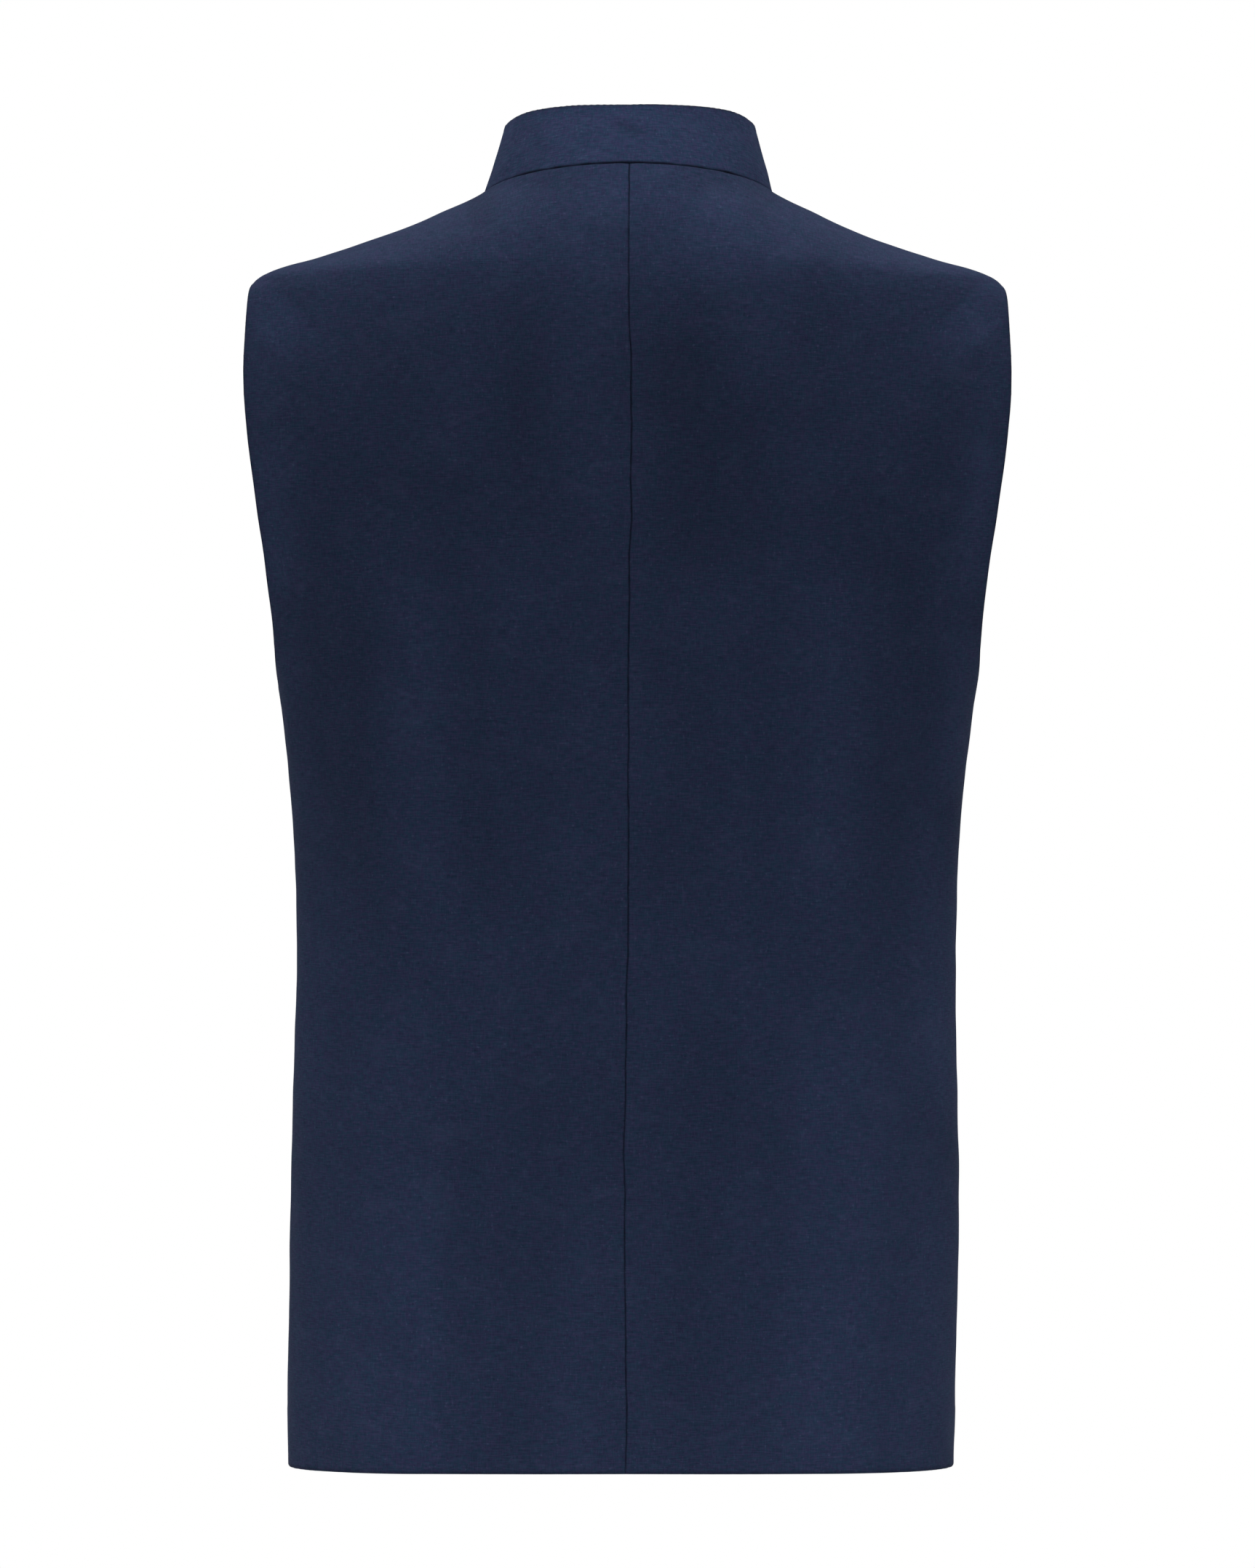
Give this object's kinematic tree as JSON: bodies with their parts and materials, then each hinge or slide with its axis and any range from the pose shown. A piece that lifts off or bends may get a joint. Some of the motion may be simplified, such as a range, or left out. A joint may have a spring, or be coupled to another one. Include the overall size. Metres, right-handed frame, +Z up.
{
  "type": "sleeveless nehru jacket",
  "caption": "Navy linen sleeveless nehru jacket with a stand collar, buttoned in front, hollow as it is worn with no wearer.",
  "frame": {"origin": "midway between the two side neck points, at their height on the shoulder line, where the wearer's shoulders hold the jacket up", "axes": "+Z up, the front faces -Y, the back faces +Y, +X towards the wearer's left"},
  "size_m": [0.414, 0.2498, 0.7384],
  "materials": {
    "linen": "plain-weave navy linen, matt, with slubs of a lighter blue",
    "button": "dark navy resin, satin"
  },
  "bodies": {
    "root": {"back_left": "linen", "back_right": "linen", "front_left": "linen", "front_right": "linen", "collar": "linen", "button_1": "button", "button_2": "button", "button_3": "button", "button_4": "button", "button_5": "button"}
  },
  "joints": []
}
